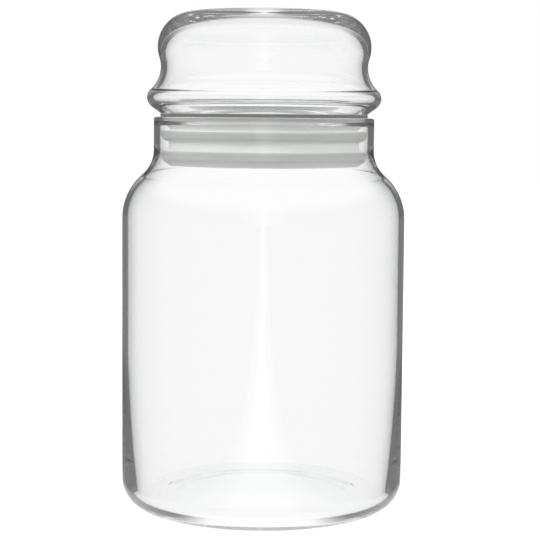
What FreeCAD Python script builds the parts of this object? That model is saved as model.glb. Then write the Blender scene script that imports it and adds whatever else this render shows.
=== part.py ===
"""Storage jar: a round glass body, a hollow glass stopper lid and a finned plastic seal ring.

Frame: millimetres, +Z up along the turning axis, origin at the middle of the ring the jar stands on.
Every section is drawn in the XZ plane and turned once round Z.  All sizes live in the sheet below:
the first block holds the sizes a maker would state, the second block the points that follow from
them, so each fit (lip, seal, skirt, seat) moves with the sizes on both of its sides.
"""
import FreeCAD, Part
import Sketcher
import math
import os

os.makedirs("parts", exist_ok=True)
doc = FreeCAD.newDocument("storage_jar")

# ---------------------------------------------------------------- sizes
SIZES = [
    # glass body, outside
    ("body_radius", 50.0, "outside radius of the straight wall"),
    ("heel_round", 10.2, "rounding from the standing ring up to the wall"),
    ("neck_straight", 11.537, "rim down to the foot of the straight neck"),
    ("shoulder_round", 19.9, "outward rounding of the shoulder"),
    ("flare_round", 11.3, "hollow rounding from the shoulder up to the neck"),
    ("neck_radius", 38.9, "outside radius of the neck"),
    ("jar_height", 138.7, "standing ring to the top of the rim"),
    ("rim_outer_round", 0.85, "fire-polished outer edge of the rim"),
    ("rim_inner_round", 0.35, "fire-polished inner edge of the rim"),
    # glass body, inside
    ("wall", 1.95, "glass thickness of the straight wall and the shoulder"),
    ("neck_wall", 2.15, "glass thickness of the neck"),
    ("inner_flare_round", 18.0, "inner hollow of the neck, longer than the outer one"),
    ("lip_inset", 0.95, "how far the lip stands in from the neck bore"),
    ("lip_depth", 1.5, "height of the straight part of the lip"),
    ("lip_taper", 1.3, "height over which the bore narrows to the lip"),
    ("thick_start", 60.0, "height below which the wall thickens"),
    ("thick_round", 580.0, "long sweep of the thickening wall"),
    ("corner_round", 5.0, "inside corner between wall and floor"),
    ("floor_height", 3.8, "floor level at the inside corner"),
    ("floor_dome", 1.4, "rise of the floor at the middle"),
    ("floor_flat", 6.0, "flat of the floor between the inside corner and the raised middle"),
    ("dome_share", 0.62, "share of the dome sweep that is rounded outwards"),
    ("ring_width", 2.1, "width of the standing ring before its inner edge is rounded"),
    ("push_up", 2.4, "depth of the hollow under the floor"),
    ("push_up_edge", 1.2, "rounding of the inner edge of the standing ring"),
    # plastic seal ring
    ("flange_thick", 1.2, "flange between the rim and the lid"),
    ("flange_lap", 0.45, "width of the flange that lies on the flat of the rim"),
    ("flange_edge", 0.2, "rounding of the flange edge"),
    ("barrel_gap", 0.15, "clearance between the lip and the seal"),
    ("barrel_depth", 1.9, "straight part of the seal below the flange"),
    ("core_wall", 1.25, "thickness of the seal above the upper fin"),
    ("core_step", 0.5, "how much thicker the seal is below the upper fin"),
    ("bore_gap", 0.05, "clearance between the lid skirt and the seal"),
    ("fin_gap", 0.08, "clearance between the fin tips and the neck bore"),
    ("fin_edge", 0.45, "thickness of a fin at its tip"),
    ("cone_foot", 4.3, "rim down to where the seal cone meets the core"),
    ("upper_fin", 4.9, "rim down to the flat top of the upper fin"),
    ("upper_fin_foot", 8.6, "rim down to where the upper fin meets the core"),
    ("upper_fin_round", 4.2, "bellied underside of the upper fin"),
    ("lower_fin", 11.6, "rim down to the flat top of the lower fin"),
    ("lower_fin_round", 7.5, "bellied underside of the lower fin"),
    ("seal_foot", 17.4, "rim down to the bottom edge of the seal"),
    ("seal_foot_wall", 1.05, "thickness of the seal at its bottom edge"),
    # hollow glass lid
    ("lid_wall", 2.2, "glass thickness of the lid"),
    ("skirt_inset", 3.9, "how far the skirt that carries the seal stands in from the lip"),
    ("skirt_depth", 14.7, "rim down to the bottom of the skirt"),
    ("skirt_round", 0.7, "fire-polished bottom edge of the skirt"),
    ("skirt_root", 2.5, "rounding from the skirt bore out to the hollow foot"),
    ("seat_inset", 0.2, "how far the lid seat stops short of the flange edge"),
    ("bead_overhang", 2.4, "how far the foot bead stands out past the neck"),
    ("bead_up", 5.6, "seat up to the middle of the bead"),
    ("waist_depth", 4.8, "how far the waist stands in from the bead"),
    ("waist_up", 16.4, "seat up to the waist"),
    ("crown_overhang", 1.1, "how far the crown stands out past the waist"),
    ("crown_up", 23.4, "seat up to the widest part of the crown"),
    ("crown_round", 12.3, "rounding from the crown side over to its top"),
    ("lid_up", 36.6, "seat up to the top of the lid"),
    ("crown_wall", 4.4, "glass thickness at the top of the crown"),
    ("hollow_round", 9.0, "rounding inside the crown"),
    ("hollow_drop", 1.2, "how far that rounding is centred below the crown's own"),
    ("foot_slope", 0.27, "fall per length of the hollow foot towards the skirt"),
]

DERIVED = [
    # body, outside: two roundings that meet on a common tangent
    ("heel_edge", "body_radius - heel_round"),
    ("turn_cos", "1 - (body_radius - neck_radius) / (shoulder_round + flare_round)"),
    ("turn_sin", "sqrt(1 - turn_cos * turn_cos)"),
    ("neck_foot", "jar_height - neck_straight"),
    ("shoulder_start", "neck_foot - (shoulder_round + flare_round) * turn_sin"),
    ("turn_radius", "body_radius - shoulder_round * (1 - turn_cos)"),
    ("turn_height", "shoulder_start + shoulder_round * turn_sin"),
    # body, inside
    ("bore_radius", "body_radius - wall"),
    ("neck_bore", "neck_radius - neck_wall"),
    ("lip_radius", "neck_bore - lip_inset"),
    ("lip_foot", "jar_height - lip_depth"),
    ("lip_taper_foot", "lip_foot - lip_taper"),
    ("inner_round", "shoulder_round - wall"),
    ("inner_cos", "1 - (bore_radius - neck_bore) / (inner_round + inner_flare_round)"),
    ("inner_sin", "sqrt(1 - inner_cos * inner_cos)"),
    ("inner_turn_radius", "bore_radius - inner_round * (1 - inner_cos)"),
    ("inner_turn_height", "shoulder_start + inner_round * inner_sin"),
    ("inner_neck_foot", "shoulder_start + (inner_round + inner_flare_round) * inner_sin"),
    ("corner_centre", "floor_height + corner_round"),
    ("sweep_run", "sqrt(pow(thick_round - corner_round; 2) - pow(thick_start - corner_centre; 2))"),
    ("sweep_scale", "thick_round / (thick_round - corner_round)"),
    ("corner_floor_radius", "bore_radius - thick_round + sweep_run"),
    ("corner_wall_radius", "bore_radius - thick_round + sweep_run * sweep_scale"),
    ("corner_wall_height", "thick_start - (thick_start - corner_centre) * sweep_scale"),
    ("floor_top", "floor_height + floor_dome"),
    ("floor_dome_radius", "corner_floor_radius - floor_flat"),
    ("dome_sum", "(floor_dome_radius * floor_dome_radius + floor_dome * floor_dome) / (2 * floor_dome)"),
    ("dome_round", "dome_sum * dome_share"),
    ("dome_hollow", "dome_sum * (1 - dome_share)"),
    ("dome_turn_radius", "floor_dome_radius * dome_share"),
    ("dome_turn_height", "floor_top - floor_dome * dome_share"),
    ("push_up_radius", "heel_edge - ring_width"),
    ("push_up_round", "(push_up_radius * push_up_radius + push_up * push_up) / (2 * push_up)"),
    # seal
    ("flange_top", "jar_height + flange_thick"),
    ("flange_radius", "lip_radius + rim_inner_round + flange_lap"),
    ("barrel_radius", "lip_radius - barrel_gap"),
    ("barrel_foot", "jar_height - barrel_depth"),
    ("skirt_radius", "lip_radius - skirt_inset"),
    ("seal_bore", "skirt_radius + bore_gap"),
    ("core_radius", "seal_bore + core_wall"),
    ("seal_foot_radius", "seal_bore + seal_foot_wall"),
    ("fin_radius", "neck_bore - fin_gap"),
    ("cone_foot_height", "jar_height - cone_foot"),
    ("upper_fin_top", "jar_height - upper_fin"),
    ("upper_fin_tip", "upper_fin_top - fin_edge"),
    ("upper_fin_root", "jar_height - upper_fin_foot"),
    ("waist_core_radius", "core_radius + core_step"),
    ("lower_fin_top", "jar_height - lower_fin"),
    ("lower_fin_tip", "lower_fin_top - fin_edge"),
    ("seal_bottom", "jar_height - seal_foot"),
    # lid, outside: crown, waist and bead roundings that meet on common tangents
    ("skirt_bottom", "jar_height - skirt_depth"),
    ("seat_radius", "flange_radius - seat_inset"),
    ("bead_radius", "neck_radius + bead_overhang"),
    ("waist_radius", "bead_radius - waist_depth"),
    ("crown_radius", "waist_radius + crown_overhang"),
    ("bead_height", "flange_top + bead_up"),
    ("waist_height", "flange_top + waist_up"),
    ("crown_height", "flange_top + crown_up"),
    ("lid_top", "flange_top + lid_up"),
    ("crown_centre", "crown_radius - crown_round"),
    ("waist_in", "waist_radius - crown_centre"),
    ("waist_round", "(waist_in * waist_in + pow(waist_up - crown_up; 2) - crown_round * crown_round)"
                    " / (2 * (crown_round - waist_in))"),
    ("waist_centre", "waist_radius + waist_round"),
    ("bead_in", "waist_centre - bead_radius"),
    ("bead_round", "(bead_in * bead_in + pow(waist_up - bead_up; 2) - waist_round * waist_round)"
                   " / (2 * (waist_round - bead_in))"),
    ("bead_centre", "bead_radius - bead_round"),
    ("crown_rise", "lid_up - crown_up"),
    ("top_round", "(crown_centre * crown_centre + crown_rise * crown_rise - crown_round * crown_round)"
                  " / (2 * (crown_rise - crown_round))"),
    ("top_share", "crown_round / (top_round - crown_round)"),
    ("crown_share", "crown_round / (crown_round + waist_round)"),
    ("bead_share", "bead_round / (bead_round + waist_round)"),
    ("top_turn_radius", "crown_centre * (1 + top_share)"),
    ("top_turn_height", "crown_height + (top_round - crown_rise) * top_share"),
    ("waist_turn_radius", "crown_centre + (waist_centre - crown_centre) * crown_share"),
    ("waist_turn_height", "crown_height + (waist_height - crown_height) * crown_share"),
    ("bead_turn_radius", "bead_centre + (waist_centre - bead_centre) * bead_share"),
    ("bead_turn_height", "bead_height + (waist_height - bead_height) * bead_share"),
    ("seat_span", "pow(bead_centre - seat_radius; 2) + bead_up * bead_up"),
    ("seat_line", "sqrt(seat_span - bead_round * bead_round)"),
    ("under_radius", "seat_radius + seat_line / seat_span"
                     " * (seat_line * (bead_centre - seat_radius) + bead_round * bead_up)"),
    ("under_height", "flange_top + seat_line / seat_span"
                     " * (seat_line * bead_up - bead_round * (bead_centre - seat_radius))"),
    # lid, inside: foot and waist one wall thickness in, and a tighter rounding under a thicker crown
    ("hollow_top", "lid_top - crown_wall"),
    ("hollow_waist_round", "waist_round + lid_wall"),
    ("hollow_bead_round", "bead_round - lid_wall"),
    ("hollow_height", "crown_height - hollow_drop"),
    ("hollow_rise", "hollow_top - hollow_height"),
    ("hollow_reach", "hollow_round + hollow_waist_round"),
    ("hollow_centre", "waist_centre - sqrt(hollow_reach * hollow_reach - pow(hollow_height - waist_height; 2))"),
    ("hollow_top_round", "(hollow_centre * hollow_centre + hollow_rise * hollow_rise"
                         " - hollow_round * hollow_round) / (2 * (hollow_rise - hollow_round))"),
    ("hollow_top_share", "hollow_round / (hollow_top_round - hollow_round)"),
    ("hollow_crown_share", "hollow_round / hollow_reach"),
    ("hollow_bead_share", "hollow_bead_round / (bead_round + waist_round)"),
    ("hollow_top_radius", "hollow_centre * (1 + hollow_top_share)"),
    ("hollow_top_height", "hollow_height + (hollow_top_round - hollow_rise) * hollow_top_share"),
    ("hollow_waist_radius", "hollow_centre + (waist_centre - hollow_centre) * hollow_crown_share"),
    ("hollow_waist_height", "hollow_height + (waist_height - hollow_height) * hollow_crown_share"),
    ("hollow_bead_radius", "bead_centre + (waist_centre - bead_centre) * hollow_bead_share"),
    ("hollow_bead_height", "bead_height + (waist_height - bead_height) * hollow_bead_share"),
    ("slope_length", "sqrt(1 + foot_slope * foot_slope)"),
    ("foot_turn_radius", "bead_centre + hollow_bead_round * foot_slope / slope_length"),
    ("foot_turn_height", "bead_height - hollow_bead_round / slope_length"),
    ("skirt_bore", "skirt_radius - lid_wall"),
    ("skirt_root_height", "foot_turn_height - (foot_turn_radius - skirt_bore) * foot_slope"),
    # grooves start and end outside the glass so that they cut right through
    ("over_rim", "jar_height + 5"),
    ("under_ring", "0 - 5"),
    ("under_skirt", "skirt_bottom - 5"),
]

sizes = doc.addObject("Spreadsheet::Sheet", "sizes")
row = 1
for name, value, meaning in SIZES:
    sizes.set("A%d" % row, name)
    sizes.set("B%d" % row, str(value))
    sizes.set("C%d" % row, meaning)
    sizes.setAlias("B%d" % row, name)
    row += 1
for name, formula in DERIVED:
    sizes.set("A%d" % row, name)
    sizes.set("B%d" % row, "=" + formula)
    sizes.setAlias("B%d" % row, name)
    row += 1
doc.recompute()


def size(term):
    """Value of a sheet name; 0 stands for the turning axis or the standing plane."""
    return 0.0 if term == 0 else float(sizes.get(term))


# ---------------------------------------------------------------- helpers
def arc_between(start, end, radius, side):
    """Arc from start to end; side +1 keeps the centre on the left of the way, -1 on the right."""
    middle = ((start[0] + end[0]) / 2.0, (start[1] + end[1]) / 2.0)
    way = (end[0] - start[0], end[1] - start[1])
    length = math.hypot(way[0], way[1])
    back = math.sqrt(max(radius * radius - length * length / 4.0, 0.0))
    centre = (middle[0] - side * way[1] / length * back, middle[1] + side * way[0] / length * back)
    first = math.atan2(start[1] - centre[1], start[0] - centre[0])
    last = math.atan2(end[1] - centre[1], end[0] - centre[0])
    if side < 0:
        first, last = last, first
    if last < first:
        last += 2.0 * math.pi
    circle = Part.Circle(FreeCAD.Vector(centre[0], centre[1], 0), FreeCAD.Vector(0, 0, 1), radius)
    return Part.ArcOfCircle(circle, first, last)


def section(body, label, steps):
    """Closed section in the XZ plane.  Each step is (radius, height) for a straight run to that
    point, or (radius, height, rounding, side) for a rounded one; every number is a sheet name."""
    sketch = body.newObject("Sketcher::SketchObject", label)
    plane = [f for f in body.Origin.OriginFeatures if f.Role == "XZ_Plane"][0]
    sketch.AttachmentSupport = [(plane, "")]
    sketch.MapMode = "FlatFace"
    points = [(size(step[0]), size(step[1])) for step in steps]
    count = len(steps)
    ends = []
    for i in range(count):
        target = steps[(i + 1) % count]
        here = points[i]
        there = points[(i + 1) % count]
        if len(target) == 4:
            sketch.addGeometry(arc_between(here, there, size(target[2]), target[3]), False)
            ends.append((1, 2) if target[3] > 0 else (2, 1))
        else:
            line = Part.LineSegment(FreeCAD.Vector(here[0], here[1], 0), FreeCAD.Vector(there[0], there[1], 0))
            sketch.addGeometry(line, False)
            ends.append((1, 2))
    for i in range(count):
        after = (i + 1) % count
        sketch.addConstraint(Sketcher.Constraint("Coincident", i, ends[i][1], after, ends[after][0]))
    for i in range(count):
        for kind, term, value in (("X", steps[i][0], points[i][0]), ("Y", steps[i][1], points[i][1])):
            if term == 0:
                on_line = -2 if kind == "X" else -1
                sketch.addConstraint(Sketcher.Constraint("PointOnObject", i, ends[i][0], on_line))
                continue
            key = "%s%d" % (kind.lower(), i)
            number = sketch.addConstraint(
                Sketcher.Constraint("Distance" + kind, -1, 1, i, ends[i][0], value))
            sketch.renameConstraint(number, key)
            sketch.setExpression("Constraints." + key, "sizes." + term)
        target = steps[(i + 1) % count]
        if len(target) == 4:
            key = "round%d" % i
            number = sketch.addConstraint(Sketcher.Constraint("Radius", i, size(target[2])))
            sketch.renameConstraint(number, key)
            sketch.setExpression("Constraints." + key, "sizes." + target[2])
    sketch.Visibility = False
    return sketch


def turn(body, kind, label, sketch):
    """Turn a section once round the axis, adding (Revolution) or cutting (Groove)."""
    before = body.Tip.Shape.Volume if body.Tip else 0.0
    feature = body.newObject(kind, label)
    feature.Profile = sketch
    feature.ReferenceAxis = (sketch, ["V_Axis"])
    feature.Angle = 360.0
    doc.recompute()
    gain = feature.Shape.Volume - before
    if (gain < 1.0) == (kind == "PartDesign::Revolution"):
        raise RuntimeError("%s changed the solid the wrong way: %.1f mm3" % (label, gain))
    return feature


def soften(body, label, rings, term):
    """Fillet the circular edges that lie at the given (radius, height) places."""
    base = body.Tip
    shape = base.Shape
    names = []
    for radius, height in rings:
        for number, edge in enumerate(shape.Edges, 1):
            if edge.Degenerated or not isinstance(edge.Curve, Part.Circle):
                continue
            box = edge.BoundBox
            level = abs(box.ZMax - size(height)) < 1e-4 and abs(box.ZMin - size(height)) < 1e-4
            if level and abs(edge.Curve.Radius - size(radius)) < 1e-4:
                names.append("Edge%d" % number)
    if len(names) < len(rings):
        raise RuntimeError("%s: an edge is missing" % label)
    fillet = body.newObject("PartDesign::Fillet", label)
    fillet.Base = (base, names)
    fillet.Radius = size(term)
    fillet.setExpression("Radius", "sizes." + term)
    doc.recompute()
    return fillet


# ---------------------------------------------------------------- glass body
jar_body = doc.addObject("PartDesign::Body", "jar_body")
jar_body.Label = "jar_body"
outside = section(jar_body, "body_outside", [
    (0, 0),
    ("heel_edge", 0),
    ("body_radius", "heel_round", "heel_round", 1),
    ("body_radius", "shoulder_start"),
    ("turn_radius", "turn_height", "shoulder_round", 1),
    ("neck_radius", "neck_foot", "flare_round", -1),
    ("neck_radius", "jar_height"),
    (0, "jar_height"),
])
body_form = turn(jar_body, "PartDesign::Revolution", "body_form", outside)
inside = section(jar_body, "body_inside", [
    (0, "floor_top"),
    ("dome_turn_radius", "dome_turn_height", "dome_round", -1),
    ("floor_dome_radius", "floor_height", "dome_hollow", 1),
    ("corner_floor_radius", "floor_height"),
    ("corner_wall_radius", "corner_wall_height", "corner_round", 1),
    ("bore_radius", "thick_start", "thick_round", 1),
    ("bore_radius", "shoulder_start"),
    ("inner_turn_radius", "inner_turn_height", "inner_round", 1),
    ("neck_bore", "inner_neck_foot", "inner_flare_round", -1),
    ("neck_bore", "lip_taper_foot"),
    ("lip_radius", "lip_foot"),
    ("lip_radius", "over_rim"),
    (0, "over_rim"),
])
body_hollow = turn(jar_body, "PartDesign::Groove", "body_hollow", inside)
under = section(jar_body, "push_up_section", [
    (0, "under_ring"),
    ("push_up_radius", "under_ring"),
    ("push_up_radius", 0),
    (0, "push_up", "push_up_round", 1),
])
push_up_cut = turn(jar_body, "PartDesign::Groove", "push_up_cut", under)
soften(jar_body, "rim_outer_edge", [("neck_radius", "jar_height")], "rim_outer_round")
soften(jar_body, "rim_inner_edge", [("lip_radius", "jar_height")], "rim_inner_round")
soften(jar_body, "lip_lower_edges", [("lip_radius", "lip_foot"), ("neck_bore", "lip_taper_foot")],
       "rim_outer_round")
soften(jar_body, "standing_ring_edge", [("push_up_radius", 0)], "push_up_edge")

# ---------------------------------------------------------------- finned seal ring
seal = doc.addObject("PartDesign::Body", "seal")
seal.Label = "seal"
ring = section(seal, "seal_section", [
    ("seal_bore", "flange_top"),
    ("seal_bore", "seal_bottom"),
    ("seal_foot_radius", "seal_bottom"),
    ("fin_radius", "lower_fin_tip", "lower_fin_round", 1),
    ("fin_radius", "lower_fin_top"),
    ("waist_core_radius", "lower_fin_top"),
    ("waist_core_radius", "upper_fin_root"),
    ("fin_radius", "upper_fin_tip", "upper_fin_round", 1),
    ("fin_radius", "upper_fin_top"),
    ("core_radius", "upper_fin_top"),
    ("core_radius", "cone_foot_height"),
    ("barrel_radius", "barrel_foot"),
    ("barrel_radius", "jar_height"),
    ("flange_radius", "jar_height"),
    ("flange_radius", "flange_top"),
])
seal_form = turn(seal, "PartDesign::Revolution", "seal_form", ring)
soften(seal, "flange_edges", [("flange_radius", "jar_height"), ("flange_radius", "flange_top")],
       "flange_edge")

# ---------------------------------------------------------------- hollow lid
lid = doc.addObject("PartDesign::Body", "lid")
lid.Label = "lid"
lid_outside = section(lid, "lid_outside", [
    (0, "skirt_bottom"),
    ("skirt_radius", "skirt_bottom"),
    ("skirt_radius", "flange_top"),
    ("seat_radius", "flange_top"),
    ("under_radius", "under_height"),
    ("bead_turn_radius", "bead_turn_height", "bead_round", 1),
    ("waist_turn_radius", "waist_turn_height", "waist_round", -1),
    ("top_turn_radius", "top_turn_height", "crown_round", 1),
    (0, "lid_top", "top_round", 1),
])
lid_form = turn(lid, "PartDesign::Revolution", "lid_form", lid_outside)
lid_inside = section(lid, "lid_inside", [
    (0, "under_skirt"),
    ("skirt_bore", "under_skirt"),
    ("skirt_bore", "skirt_root_height"),
    ("foot_turn_radius", "foot_turn_height"),
    ("hollow_bead_radius", "hollow_bead_height", "hollow_bead_round", 1),
    ("hollow_waist_radius", "hollow_waist_height", "hollow_waist_round", -1),
    ("hollow_top_radius", "hollow_top_height", "hollow_round", 1),
    (0, "hollow_top", "hollow_top_round", 1),
])
lid_hollow = turn(lid, "PartDesign::Groove", "lid_hollow", lid_inside)
soften(lid, "skirt_root_edge", [("skirt_bore", "skirt_root_height")], "skirt_root")
soften(lid, "skirt_edges", [("skirt_bore", "skirt_bottom"), ("skirt_radius", "skirt_bottom")],
       "skirt_round")

# ---------------------------------------------------------------- checks and output
doc.recompute()
for item in doc.Objects:
    if "Invalid" in item.State or "Error" in item.State:
        raise RuntimeError("%s did not compute: %s" % (item.Label, item.State))
for body in (jar_body, seal, lid):
    shape = body.Shape
    if shape.isNull() or not shape.isValid() or len(shape.Solids) != 1:
        raise RuntimeError("%s is not one sound solid" % body.Label)
    shape.exportStep("parts/%s.step" % body.Label)
    box = shape.BoundBox
    print("%-9s %9.1f mm3  z %.2f to %.2f  radius %.2f" %
          (body.Label, shape.Volume, box.ZMin, box.ZMax, box.XMax))
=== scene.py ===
# %% [markdown]
# # A clear glass storage jar
# The jar is three turned pieces: a glass body, a hollow glass lid and a milky plastic seal ring with
# two fins.  Clear glass shows only what it bends and mirrors, so nearly all of the look comes from
# three things: exact round sections, a true wall thickness, and what stands round the jar.

# %% Start
import math
import bpy
from mathutils import Matrix, Vector


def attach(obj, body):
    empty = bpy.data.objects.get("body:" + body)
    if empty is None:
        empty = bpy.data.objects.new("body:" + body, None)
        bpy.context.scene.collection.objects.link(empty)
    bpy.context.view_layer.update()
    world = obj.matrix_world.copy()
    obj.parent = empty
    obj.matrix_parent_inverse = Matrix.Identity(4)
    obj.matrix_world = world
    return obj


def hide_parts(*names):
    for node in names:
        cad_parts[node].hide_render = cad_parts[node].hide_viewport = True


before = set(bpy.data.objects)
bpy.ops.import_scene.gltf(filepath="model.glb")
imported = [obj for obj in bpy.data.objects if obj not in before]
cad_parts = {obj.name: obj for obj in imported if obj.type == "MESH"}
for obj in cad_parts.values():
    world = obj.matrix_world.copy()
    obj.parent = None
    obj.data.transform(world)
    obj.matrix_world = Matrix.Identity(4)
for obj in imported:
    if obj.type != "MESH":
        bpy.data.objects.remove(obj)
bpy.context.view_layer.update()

# %% [markdown]
# ## Sections made of roundings
# Each piece is one section turned round the upright axis.  A section can be drawn as a list of
# roundings, because the straight runs are only what joins one rounding to the next.  A rounding
# gives its centre, its radius and the two directions it runs between, in degrees, with 0 outwards
# and 90 up.  The outline keeps the glass on its left, so a rounding that turns left swells outwards
# and one that turns right is hollow; that also tells which way its normals point.  On a rounding the
# points lie at most 5 degrees and 2 mm apart, and one that falls on the last point is left out.

# %% Points and normals of a section
FINEST_TURN, FINEST_STEP, SAME = 5.0, 2.0, 1e-4

def outline(roundings):
    """Points (radius, height) in mm, each with the direction its surface faces."""
    points = []
    for centre_r, centre_z, radius, start, end in roundings:
        length = radius * math.radians(abs(end - start))
        parts = max(2, math.ceil(abs(end - start) / FINEST_TURN), math.ceil(length / FINEST_STEP))
        swell = 1.0 if end > start else -1.0
        for i in range(parts + 1):
            a = math.radians(start + (end - start) * i / parts)
            out = (math.cos(a), math.sin(a))
            spot = (centre_r + radius * out[0], centre_z + radius * out[1])
            if not points or math.dist(points[-1][0], spot) > SAME:
                points.append((spot, (swell * out[0], swell * out[1])))
    return points

# %% [markdown]
# ## Turning a section
# A Screw modifier turns a section too, but clear glass shows every facet as a stripe.  Here the mesh
# is made with 288 steps and each vertex is given the exact normal of its rounding, so light bends as
# in a truly round wall.  A closed ring joins its last point to its first; the others begin and end
# on the axis.

# %% Turn a section into a mesh
MM = 1000
ON_AXIS = 1e-6

def turned(name, roundings, ring=False, steps=288):
    """A piece turned from a section in mm, as a mesh in metres."""
    points = outline(roundings)
    verts, normals, rows = [], [], []
    for (r, z), (out, up) in points:
        count = 1 if r < ON_AXIS else steps
        rows.append([len(verts) + k for k in range(count)])
        for k in range(count):
            c, s = math.cos(2 * math.pi * k / steps), math.sin(2 * math.pi * k / steps)
            verts.append((r * c / MM, r * s / MM, z / MM))
            normals.append((out * c, out * s, up))
    faces = []
    for low, high in list(zip(rows, rows[1:])) + ([(rows[-1], rows[0])] if ring else []):
        for k in range(steps):
            n = (k + 1) % steps
            corners = [low[k % len(low)], low[n % len(low)], high[n % len(high)], high[k % len(high)]]
            face = tuple(dict.fromkeys(corners))
            if len(face) > 2:
                faces.append(face)
    mesh = bpy.data.meshes.new(name)
    mesh.from_pydata(verts, [], faces)
    mesh.shade_smooth()
    mesh.normals_split_custom_set_from_vertices(normals)
    piece = bpy.data.objects.new(name, mesh)
    bpy.context.scene.collection.objects.link(piece)
    print("%s: %d faces, %.1f mm across, from %.1f to %.1f mm up" % (
        name, len(faces), 2 * max(p[0][0] for p in points),
        min(p[0][1] for p in points), max(p[0][1] for p in points)))
    return piece

# %% [markdown]
# ## Two roundings that meet
# The shoulder, the floor and the waist of the lid are S-curves: a rounding that runs straight into
# one of the other kind.  The radii and the step sideways give the angle at which they meet.

# %% Angle where two roundings meet
def meeting(step, first, second):
    """Degrees through which both roundings turn before they meet."""
    return math.degrees(math.acos(1.0 - step / (first + second)))

# %% [markdown]
# ## The glass body
# Such a jar is blown into a mould and its rim is fire-polished, so no edge is sharp.  The wall is
# 2 mm and swells to 4 mm at the heel, and the lip stands in a little; these thick places are what
# draws the dark lines of a glass jar, so they are modelled and not painted.

# %% Sizes of the body, in mm
BODY_R, NECK_R, RIM = 50.0, 38.9, 138.7
WALL, NECK_WALL, LIP = 1.95, 2.15, 0.95
HEEL, SHOULDER, FLARE, INNER_FLARE = 10.2, 19.9, 11.3, 18.0
STRAIGHT_NECK = 11.537
NECK_Z = RIM - STRAIGHT_NECK
BORE_R = NECK_R - NECK_WALL
LIP_R = BORE_R - LIP
turn_out = meeting(BODY_R - NECK_R, SHOULDER, FLARE)
turn_in = meeting(BODY_R - WALL - BORE_R, SHOULDER - WALL, INNER_FLARE)
shoulder_z = NECK_Z - (SHOULDER + FLARE) * math.sin(math.radians(turn_out))
neck_z_in = shoulder_z + (SHOULDER - WALL + INNER_FLARE) * math.sin(math.radians(turn_in))
print("shoulder turns %.1f degrees outside and %.1f inside" % (turn_out, turn_in))

# %% Floor, heel and hollow underside of the body
SWEEP, SWEEP_Z, CORNER, FLOOR, FLAT = 580.0, 60.0, 5.0, 3.8, 6.0
sweep = math.degrees(math.asin((SWEEP_Z - FLOOR - CORNER) / (SWEEP - CORNER)))
corner_r = BODY_R - WALL - SWEEP + (SWEEP - CORNER) * math.cos(math.radians(sweep))
DOME_R, DOME, HOLLOW_SHARE = corner_r - FLAT, 1.4, 0.38
dome = (DOME_R ** 2 + DOME ** 2) / (2 * DOME)
dome_turn = math.degrees(math.asin(DOME_R / dome))
RING_WIDTH, PUSH, RING_EDGE = 2.1, 2.4, 1.2
PUSH_R = BODY_R - HEEL - RING_WIDTH
push = (PUSH_R ** 2 + PUSH ** 2) / (2 * PUSH)
ring_r = math.sqrt((push + RING_EDGE) ** 2 - (RING_EDGE - PUSH + push) ** 2)
push_turn = math.degrees(math.asin(ring_r / (push + RING_EDGE)))
print("inside corner at %.1f mm, standing ring from %.1f mm" % (corner_r, ring_r))

# %% Fire-polished rim of the body
RIM_OUT, RIM_IN, LIP_SOFT = 0.85, 0.35, 0.85
LIP_FOOT_Z, BORE_TOP_Z, LIP_LEAN = RIM - 1.22, RIM - 3.08, 36.2
print("the lip widens to the bore at %.1f degrees" % LIP_LEAN)

# %% Turn the body
body = turned("glass_body", [
    (0.0, PUSH - push, push, 90, 90 - push_turn),
    (ring_r, RING_EDGE, RING_EDGE, -90 - push_turn, -90),
    (BODY_R - HEEL, HEEL, HEEL, -90, 0),
    (BODY_R - SHOULDER, shoulder_z, SHOULDER, 0, turn_out),
    (NECK_R + FLARE, NECK_Z, FLARE, 180 + turn_out, 180),
    (NECK_R - RIM_OUT, RIM - RIM_OUT, RIM_OUT, 0, 90),
    (LIP_R + RIM_IN, RIM - RIM_IN, RIM_IN, 90, 180),
    (LIP_R + LIP_SOFT, LIP_FOOT_Z, LIP_SOFT, 180, 180 + LIP_LEAN),
    (BORE_R - LIP_SOFT, BORE_TOP_Z, LIP_SOFT, LIP_LEAN, 0),
    (BORE_R + INNER_FLARE, neck_z_in, INNER_FLARE, 180, 180 + turn_in),
    (BODY_R - SHOULDER, shoulder_z, SHOULDER - WALL, turn_in, 0),
    (BODY_R - WALL - SWEEP, SWEEP_Z, SWEEP, 0, -sweep),
    (corner_r, FLOOR + CORNER, CORNER, -sweep, -90),
    (DOME_R, FLOOR + HOLLOW_SHARE * dome, HOLLOW_SHARE * dome, -90, -90 - dome_turn),
    (0.0, FLOOR + DOME - (1 - HOLLOW_SHARE) * dome, (1 - HOLLOW_SHARE) * dome, 90 - dome_turn, 90),
])

# %% [markdown]
# ## The hollow lid
# The lid is blown hollow and open below: crown, waist and foot bead are one thin wall, and under the
# bead it sits on the seal and goes down into the mouth as a skirt.  Round the waist and the bead the
# inside follows the outside one wall in, from the same two centres.  More glass gathers in the crown,
# so its inside has a rounding and a centre of its own.

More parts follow.
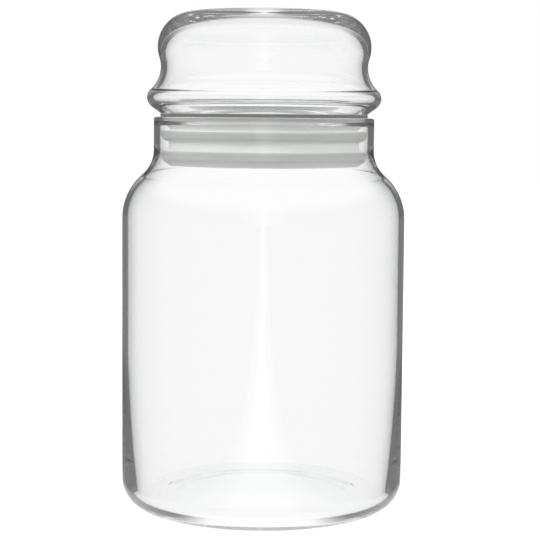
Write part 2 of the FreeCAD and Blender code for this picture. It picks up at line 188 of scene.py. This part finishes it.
# %% Centres of the crown, the waist and the bead
FLANGE, LID_WALL, CROWN, CROWN_WALL = 1.2, 2.2, 12.3, 4.4
SEAT = RIM + FLANGE
BEAD_R, BEAD_Z = NECK_R + 2.4, SEAT + 5.6
WAIST_R, WAIST_Z = BEAD_R - 4.8, SEAT + 16.4
CROWN_R, CROWN_Z, TOP = WAIST_R + 1.1, SEAT + 23.4, SEAT + 36.6
crown_c = CROWN_R - CROWN
lean = WAIST_R - crown_c
waist = (lean ** 2 + (CROWN_Z - WAIST_Z) ** 2 - CROWN ** 2) / (2 * (CROWN - lean))
waist_c = WAIST_R + waist
lean = waist_c - BEAD_R
bead = (lean ** 2 + (WAIST_Z - BEAD_Z) ** 2 - waist ** 2) / (2 * (waist - lean))
bead_c = BEAD_R - bead
rise = TOP - CROWN_Z
top = (crown_c ** 2 + rise ** 2 - CROWN ** 2) / (2 * (rise - CROWN))
top_turn = math.degrees(math.asin(crown_c / (top - CROWN)))
to_waist = math.degrees(math.atan2(CROWN_Z - WAIST_Z, waist_c - crown_c))
to_bead = math.degrees(math.atan2(WAIST_Z - BEAD_Z, waist_c - bead_c))
print("lid roundings: waist %.1f mm, bead %.2f mm, top %.0f mm" % (waist, bead, top))

# %% Inside of the crown
HOLLOW, HOLLOW_Z, HOLLOW_TOP = 9.0, CROWN_Z - 1.2, TOP - CROWN_WALL
reach = HOLLOW + waist + LID_WALL
hollow_c = waist_c - math.sqrt(reach ** 2 - (HOLLOW_Z - WAIST_Z) ** 2)
rise = HOLLOW_TOP - HOLLOW_Z
hollow_top = (hollow_c ** 2 + rise ** 2 - HOLLOW ** 2) / (2 * (rise - HOLLOW))
hollow_turn = math.degrees(math.asin(hollow_c / (hollow_top - HOLLOW)))
hollow_waist = math.degrees(math.atan2(HOLLOW_Z - WAIST_Z, waist_c - hollow_c))
print("inside of the crown: centre %.1f mm out, top %.0f mm" % (hollow_c, hollow_top))

# %% Seat under the bead and the root of the skirt
SKIRT_R, SKIRT_FOOT, SKIRT_EDGE, ROOT = LIP_R - 3.9, RIM - 14.7, 0.7, 2.5
FLANGE_R, SEAT_EDGE, SLOPE = LIP_R + 0.8, 0.3, 0.27
SEAT_R, SEAT_SHORT = FLANGE_R - 0.2, 0.1
span = math.hypot(bead_c - SEAT_R, BEAD_Z - SEAT)
under = math.degrees(math.atan2(BEAD_Z - SEAT, bead_c - SEAT_R) - math.asin(bead / span))
FALL = math.degrees(math.atan(SLOPE))
bore = SKIRT_R - LID_WALL
turn_r = bead_c + (bead - LID_WALL) * math.sin(math.radians(FALL))
turn_z = BEAD_Z - (bead - LID_WALL) * math.cos(math.radians(FALL))
root_z = turn_z - (turn_r - bore - ROOT) * SLOPE - ROOT / math.cos(math.radians(FALL))
print("underside rises at %.1f degrees" % under)

# %% Turn the lid
lid = turned("glass_lid", [
    (0.0, HOLLOW_TOP - hollow_top, hollow_top, 90, 90 - hollow_turn),
    (hollow_c, HOLLOW_Z, HOLLOW, 90 - hollow_turn, -hollow_waist),
    (waist_c, WAIST_Z, waist + LID_WALL, 180 - hollow_waist, 180 + to_bead),
    (bead_c, BEAD_Z, bead - LID_WALL, to_bead, FALL - 90),
    (bore + ROOT, root_z, ROOT, 90 + FALL, 180),
    (bore + SKIRT_EDGE, SKIRT_FOOT + SKIRT_EDGE, SKIRT_EDGE, 180, 270),
    (SKIRT_R - SKIRT_EDGE, SKIRT_FOOT + SKIRT_EDGE, SKIRT_EDGE, -90, 0),
    (SKIRT_R + SEAT_EDGE, SEAT - SEAT_EDGE, SEAT_EDGE, 180, 90),
    (SEAT_R - SEAT_SHORT, SEAT + SEAT_EDGE, SEAT_EDGE, -90, under - 90),
    (bead_c, BEAD_Z, bead, under - 90, to_bead),
    (waist_c, WAIST_Z, waist, 180 + to_bead, 180 - to_waist),
    (crown_c, CROWN_Z, CROWN, -to_waist, 90 - top_turn),
    (0.0, TOP - top, top, 90 - top_turn, 90),
])

# %% [markdown]
# ## The seal ring
# The ring is moulded polyethylene.  A corner with a rounding is the natural way to draw a moulded
# section, so a small helper turns a list of corners into roundings; a belly under a fin is only a
# corner with a large rounding.  The flange keeps a hair clear of the glass above and below it,
# because two faces in the same place render black.

# %% Corners to roundings
def rounded(corners):
    """Roundings for a closed section, from its corners (radius, height, size of the rounding)."""
    made = []
    for i, (r, z, size) in enumerate(corners):
        before, after = corners[i - 1], corners[(i + 1) % len(corners)]
        come = math.degrees(math.atan2(z - before[1], r - before[0]))
        leave = math.degrees(math.atan2(after[1] - z, after[0] - r))
        bend = (leave - come + 180) % 360 - 180
        back = size * math.tan(math.radians(abs(bend) / 2))
        side = 1 if bend > 0 else -1
        a, n = math.radians(come), math.radians(come + 90 * side)
        centre = (r - back * math.cos(a) + size * math.cos(n), z - back * math.sin(a) + size * math.sin(n))
        start = come - 90 * side
        made.append((centre[0], centre[1], size, start, start + bend))
    return made

# %% Turn the seal
FIN_R, BARREL, SEAL_BORE = BORE_R - 0.08, LIP_R - 0.15, SKIRT_R + 0.05
CORE, LOWER_CORE, BELLY, HAIR = SEAL_BORE + 1.25, SEAL_BORE + 1.75, 35.9, 0.04
SEAL_FOOT, UPPER_FIN, LOWER_FIN = RIM - 17.4, RIM - 4.9, RIM - 11.6
seal = turned("seal_ring", rounded([
    (SEAL_BORE, SEAL_FOOT, 0.3),
    (CORE, SEAL_FOOT, 0.4),
    (BELLY, RIM - 14.6, 3.0),
    (FIN_R, RIM - 12.3, 0.8),
    (FIN_R, LOWER_FIN, 0.2),
    (LOWER_CORE, LOWER_FIN, 0.3),
    (LOWER_CORE, RIM - 8.6, 0.4),
    (BELLY, RIM - 7.7, 1.9),
    (FIN_R, RIM - 5.5, 0.5),
    (FIN_R, UPPER_FIN, 0.2),
    (CORE, UPPER_FIN, 0.15),
    (CORE, RIM - 4.3, 0.15),
    (BARREL, RIM - 1.9, 0.3),
    (BARREL, RIM + HAIR, 0.15),
    (FLANGE_R, RIM + HAIR, 0.2),
    (FLANGE_R, SEAT - HAIR, 0.2),
    (SEAL_BORE, SEAT - HAIR, 0.1),
]), ring=True)

# %% [markdown]
# ## Where the pieces belong
# Each turned piece stands for one solid of the part and rides on the one body of this object.

# %% Tie the pieces to the frame
for piece, node, slot in ((body, "jar_body", "jar_glass"), (lid, "lid", "lid_glass"),
                          (seal, "seal", "seal_plastic")):
    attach(piece, "root")
    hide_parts(node)

# %% [markdown]
# ## Helpers for materials
# Colours are written as sRGB hex and turned to the linear values that Blender mixes with.  One
# function adds any node with its settings and links.

# %% Colour and node helpers
def linear(hex_colour):
    """The linear RGBA of an sRGB hex colour."""
    values = [int(hex_colour[i:i + 2], 16) / 255 for i in (0, 2, 4)]
    return tuple(v / 12.92 if v <= 0.04045 else ((v + 0.055) / 1.055) ** 2.4 for v in values) + (1.0,)

def node(tree, kind, inputs=(), **settings):
    """Add a node; inputs pairs a socket's name or number with a value, a socket or a node."""
    made = tree.nodes.new(kind)
    for key, value in settings.items():
        setattr(made, key, value)
    for socket, value in inputs:
        if isinstance(value, bpy.types.Node):
            value = value.outputs[0]
        if isinstance(value, bpy.types.NodeSocket):
            tree.links.new(value, made.inputs[socket])
        else:
            made.inputs[socket].default_value = value
    return made

def material(name):
    """An empty node material and its tree."""
    made = bpy.data.materials.new(name)
    made.use_nodes = True
    made.node_tree.nodes.clear()
    print("material:", name)
    return made, made.node_tree

# %% [markdown]
# ## Soda-lime glass, blown and fire-polished
# Jar glass is soda-lime: IOR 1.52, clear, and smooth from the fire.  Blown glass is never quite even,
# so a slow ripple, 22 mm long on the body and 17 mm on the lid, bends its lines a little.  Seen along
# the wall the eye looks through more glass, so the tint greys there.
#
# A plain glass shader stops the light of lamps, and what stands inside stays dark.  Real clear glass
# lets nearly all of it by, so rays on their way to a lamp, and rays that a dull surface scattered,
# pass straight through here.

# %% Glass
CLEAR, GRAZED, PASSED = linear("FFFFFF"), linear("EEF0F0"), linear("F8F9F9")
GLASS_IOR, RIPPLE_DEPTH = 1.52, 0.5 / MM
GREY_FROM, GREY_TO = 0.62, 0.76

def soda_lime(name, wave, wobble):
    """Glass with a ripple; wave is its length in mm, wobble how much it shows."""
    made, tree = material(name)
    place = node(tree, "ShaderNodeTexCoord").outputs["Object"]
    ripple = node(tree, "ShaderNodeTexNoise", [
        ("Vector", place), ("Scale", MM / wave), ("Detail", 1.0), ("Roughness", 0.3)])
    bump = node(tree, "ShaderNodeBump", [
        ("Height", ripple), ("Strength", wobble), ("Distance", RIPPLE_DEPTH)])
    edge = node(tree, "ShaderNodeLayerWeight", [("Blend", 0.5)])
    grazing = node(tree, "ShaderNodeMapRange", [
        ("Value", edge.outputs["Facing"]), ("From Min", GREY_FROM), ("From Max", GREY_TO)])
    tint = node(tree, "ShaderNodeMix", [("Factor", grazing), (6, CLEAR), (7, GRAZED)], data_type="RGBA")
    glass = node(tree, "ShaderNodeBsdfPrincipled", [
        ("Base Color", tint.outputs[2]), ("Roughness", 0.0), ("IOR", GLASS_IOR),
        ("Transmission Weight", 1.0), ("Normal", bump)])
    ray = node(tree, "ShaderNodeLightPath").outputs
    passing = node(tree, "ShaderNodeMath", [
        (0, ray["Is Shadow Ray"]), (1, ray["Is Diffuse Ray"])], operation="MAXIMUM")
    clear = node(tree, "ShaderNodeBsdfTransparent", [("Color", PASSED)])
    both = node(tree, "ShaderNodeMixShader", [(0, passing), (1, glass), (2, clear)])
    node(tree, "ShaderNodeOutputMaterial", [("Surface", both)])
    return made

body.data.materials.append(soda_lime("soda_lime_glass_blown", 22.2, 0.03))
lid.data.materials.append(soda_lime("soda_lime_glass_blown_lid", 16.7, 0.004))

# %% [markdown]
# ## Natural polyethylene, injection moulded
# Left without colour, polyethylene is milky: light goes in, scatters and comes out again, so shadows
# between the fins are soft.  Its tone drifts a little with the flow in the mould, over about 6 mm.
# Behind the glass the fins and the flange look darker than the core.  Light alone does not bring
# that out here, so it is painted shade, darker with the distance from the axis and with the height.

# %% Tone of the polyethylene, with painted shade
made, tree = material("natural_polyethylene_moulded")
MILKY, MILKY_LIGHT = linear("F2F2F0"), linear("F8F8F6")
FLOW, PLASTIC_IOR, SATIN = 6.25, 1.51, 0.42
FIN_PAINTED_SHADE, FIN_SHADE = 0.68, 36.6
FLANGE_PAINTED_SHADE, SHADE_FOOT, SHADE_TOP = 0.3, RIM - 2.0, RIM + 0.5
spot = node(tree, "ShaderNodeTexCoord").outputs["Object"]
flow = node(tree, "ShaderNodeTexNoise", [("Vector", spot), ("Scale", MM / FLOW), ("Detail", 2.0)])
tone_and_painted_shade = node(tree, "ShaderNodeMix", [("Factor", flow), (6, MILKY), (7, MILKY_LIGHT)], data_type="RGBA")
flat = node(tree, "ShaderNodeVectorMath", [(0, spot), (1, (1.0, 1.0, 0.0))], operation="MULTIPLY")
out = node(tree, "ShaderNodeVectorMath", [(0, flat)], operation="LENGTH").outputs["Value"]
# Painted shade: the colour darkens out from the core towards the fins, and up towards the flange.
fins = node(tree, "ShaderNodeMapRange", [
    ("Value", out), ("From Min", CORE / MM), ("From Max", FIN_SHADE / MM),
    ("To Min", 1.0), ("To Max", FIN_PAINTED_SHADE)])
up = node(tree, "ShaderNodeSeparateXYZ", [("Vector", spot)]).outputs["Z"]
flange = node(tree, "ShaderNodeMapRange", [
    ("Value", up), ("From Min", SHADE_FOOT / MM), ("From Max", SHADE_TOP / MM),
    ("To Min", 1.0), ("To Max", FLANGE_PAINTED_SHADE)])
painted_shade = node(tree, "ShaderNodeMath", [(0, fins), (1, flange)], operation="MULTIPLY")
tone_and_painted_shade = node(tree, "ShaderNodeVectorMath", [(0, tone_and_painted_shade.outputs[2]), ("Scale", painted_shade.outputs[0])],
            operation="SCALE")

# %% Surface of the polyethylene
GRAIN_DEPTH, SCATTER = 0.2 / MM, 2.0 / MM
grain = node(tree, "ShaderNodeBump", [("Height", flow), ("Strength", 0.1), ("Distance", GRAIN_DEPTH)])
plastic = node(tree, "ShaderNodeBsdfPrincipled", [
    ("Base Color", tone_and_painted_shade), ("Roughness", SATIN), ("IOR", PLASTIC_IOR), ("Subsurface Weight", 0.3),
    ("Subsurface Scale", SCATTER), ("Subsurface Radius", (1.0, 1.0, 1.0)), ("Normal", grain)])
node(tree, "ShaderNodeOutputMaterial", [("Surface", plastic)])
seal.data.materials.append(made)

# %% [markdown]
# ## What stands round the jar
# A studio sets clear glass before white, with dark beside it: what comes straight through stays
# white, and what is turned aside inside a wall shows the dark.  Boards could be built for that, but
# every other view would show them.  Here the world and the floor tell the cases apart by how many
# glass faces a ray has crossed: more than three is through two walls, one to three is inside one.
#
# Each brightness is made from steps and layers.  A step runs softly from 0 to 1 between two values;
# ends written the other way round run down.  A layer takes one brightness where its step is 0 and
# another where it is 1, and may build on an earlier layer by name.

# %% Brightness from steps and layers
DARK, PLAIN, WHITE = 0.18, 0.85, 1.0

def brightness(tree, known, steps, layers):
    """Add the steps and the layers to what is known, and return all of it by name."""
    ray = node(tree, "ShaderNodeLightPath").outputs
    known.update({"camera": ray["Is Camera Ray"], "mirrored": ray["Is Glossy Ray"],
                  "refracted": ray["Is Transmission Ray"], "bounced": ray["Is Diffuse Ray"]})
    for name, count, least in (("inside", "Transmission Depth", 0.5),
                               ("through", "Transmission Depth", 3.5),
                               ("scattered", "Diffuse Depth", 0.5)):
        known[name] = node(tree, "ShaderNodeMath", [(0, ray[count]), (1, least)],
                           operation="GREATER_THAN")
    for name, value, low, high in steps:
        known[name] = node(tree, "ShaderNodeMapRange", [
            ("Value", known[value]), ("From Min", low), ("From Max", high)],
            interpolation_type="SMOOTHSTEP")
    for name, step, low, high in layers:
        known[name] = node(tree, "ShaderNodeMix", [
            ("Factor", known[step]), (2, known.get(low, low)), (3, known.get(high, high))])
    return known

# %% [markdown]
# ## The world
# One wall shows dark, with a grey line straight behind and a bright upright card at each side, and
# lighter overhead.  The outside of the glass mirrors white straight ahead and dark beside it.  The
# cards stand to the left and right of the front, so the jar has other streaks seen from its sides.
# Light that a dull surface scattered meets one plain level, at which a grey card beside the jar
# renders about as grey as it is, and the backdrop is white to the camera.

# %% World
world = bpy.data.worlds.new("white_studio")
bpy.context.scene.world = world
world.use_nodes = True
tree = world.node_tree
tree.nodes.clear()
way = node(tree, "ShaderNodeTexCoord").outputs["Generated"]
axes = node(tree, "ShaderNodeSeparateXYZ", [("Vector", way)]).outputs
wide = node(tree, "ShaderNodeMath", [(0, axes["X"])], operation="ABSOLUTE")
upright = node(tree, "ShaderNodeVectorMath", [(0, way), (1, (1.0, 0.0, 0.12))], operation="MULTIPLY")
aside = node(tree, "ShaderNodeVectorMath", [(0, upright)], operation="LENGTH").outputs["Value"]
studio = brightness(tree, {"up": axes["Z"], "wide": wide.outputs[0], "aside": aside}, [
    ("above", "up", 0.35, 0.65),
    ("off_line", "aside", 0.02, 0.08),
    ("off_centre", "aside", 0.05, 0.25),
    ("card_inner", "wide", 0.17, 0.22),
    ("card_outer", "wide", 0.33, 0.27),
    ("card_foot", "up", 0.02, 0.10),
], [
    ("behind", "off_line", 0.5, DARK),
    ("card_edge", "card_outer", 0.0, "card_foot"),
    ("card", "card_inner", 0.0, "card_edge"),
    ("with_cards", "card", "behind", 0.8),
    ("one_wall", "above", "with_cards", 0.9),
    ("ahead", "off_centre", WHITE, 0.13),
    ("mirror", "above", "ahead", 0.6),
    ("glass", "inside", "mirror", "one_wall"),
    ("two_walls", "through", "glass", WHITE),
    ("dull", "scattered", "two_walls", PLAIN),
    ("level", "camera", "dull", WHITE),
])
sky = node(tree, "ShaderNodeBackground", [("Color", (1, 1, 1, 1)), ("Strength", studio["level"])])
node(tree, "ShaderNodeOutputWorld", [("Surface", sky)])
print("world: plain level %.2f, dark %.2f" % (PLAIN, DARK))

# %% [markdown]
# ## The floor
# A white board: the camera sees it white, and so does a ray through two walls.  Inside one wall it
# is dark but for a line under the jar, as the world is.  What the outside of the glass mirrors of it
# turns dark beyond the foot of the jar, which keeps the edge of the wall crisp.  Scattered light
# finds a plain board that throws back 0.45 of what it gets.

# %% Floor
BOARD, FLOOR_DROP, FLOOR_R = 0.45, 0.0002, 3.0
bpy.ops.mesh.primitive_circle_add(
    vertices=96, radius=FLOOR_R, fill_type="NGON", location=(0, 0, -FLOOR_DROP))
floor = bpy.context.object
floor.name = "floor"
made, tree = material("white_studio_board")
spot = node(tree, "ShaderNodeTexCoord").outputs["Object"]
axes = node(tree, "ShaderNodeSeparateXYZ", [("Vector", spot)]).outputs
off = node(tree, "ShaderNodeMath", [(0, axes["X"])], operation="ABSOLUTE")
studio = brightness(tree, {"off": off.outputs[0]}, [
    ("off_line", "off", 0.015, 0.032),
    ("off_foot", "off", 0.052, 0.075),
], [
    ("one_wall", "off_line", WHITE, DARK),
    ("beside", "off_foot", WHITE, 0.25),
    ("mirror", "camera", "beside", 0.92),
    ("glass", "through", "one_wall", WHITE),
    ("level", "inside", "mirror", "glass"),
    ("to_glass", "refracted", 0.0, "level"),
    ("to_mirrors", "mirrored", "to_glass", "level"),
    ("shown", "camera", "to_mirrors", "level"),
    ("thrown_back", "bounced", 0.0, BOARD),
    ("board", "camera", "thrown_back", BOARD),
])
board = node(tree, "ShaderNodeBsdfDiffuse", [("Color", studio["board"].outputs[0])])
light = node(tree, "ShaderNodeEmission", [("Color", (1, 1, 1, 1)), ("Strength", studio["shown"])])
both = node(tree, "ShaderNodeAddShader", [(0, board), (1, light)])
node(tree, "ShaderNodeOutputMaterial", [("Surface", both)])
floor.data.materials.append(made)

# %% [markdown]
# ## Two soft lamps
# A large key lamp on the left and a weaker fill on the right give the ring its soft shading.  They
# light only dull surfaces: the glass does not show them as bright squares.

# %% Soft lamps
MIDDLE = (0, 0, 0.1)

def soft_lamp(name, place, size, watts):
    """A rectangular lamp that faces the middle of the jar."""
    data = bpy.data.lights.new(name, "AREA")
    data.shape = "RECTANGLE"
    data.size, data.size_y = size
    data.energy = watts
    lamp = bpy.data.objects.new(name, data)
    bpy.context.scene.collection.objects.link(lamp)
    lamp.location = place
    lamp.rotation_euler = (Vector(place) - Vector(MIDDLE)).to_track_quat("Z", "Y").to_euler()
    lamp.visible_glossy = False
    lamp.visible_transmission = False
    print("lamp %s: %.0f W" % (name, watts))

soft_lamp("key_box", (-0.9, -0.7, 0.9), (0.5, 0.8), 9.0)
soft_lamp("fill_box", (1.1, -0.5, 0.6), (0.4, 0.8), 5.0)

# %% [markdown]
# ## The camera
# At the height of the rim, 0.6 m from the axis, looking slightly down, with a long lens.

# %% Camera
EYE, DOWN, ROLL = (0.0025, -0.600, 0.1387), 5.15, 0.45
SENSOR, LENS, NEAREST = 36.0, 112.7, 0.01
data = bpy.data.cameras.new("camera")
data.sensor_width, data.lens = SENSOR, LENS
data.clip_start = NEAREST
camera = bpy.data.objects.new("camera", data)
bpy.context.scene.collection.objects.link(camera)
camera.matrix_world = (Matrix.Translation(EYE)
                       @ Matrix.Rotation(math.radians(90 - DOWN), 4, "X")
                       @ Matrix.Rotation(math.radians(ROLL), 4, "Z"))
bpy.context.scene.camera = camera

# %% [markdown]
# ## Enough bounces for clear glass
# A ray crosses four glass faces on its way through the jar and more when it comes from above, and it
# mirrors inside the walls.  One that is cut short turns black, so more bounces are allowed.

# %% Render settings
scene = bpy.context.scene
scene.view_settings.view_transform = "Standard"
scene.cycles.max_bounces = 48
scene.cycles.transmission_bounces = 40
scene.cycles.glossy_bounces = 40
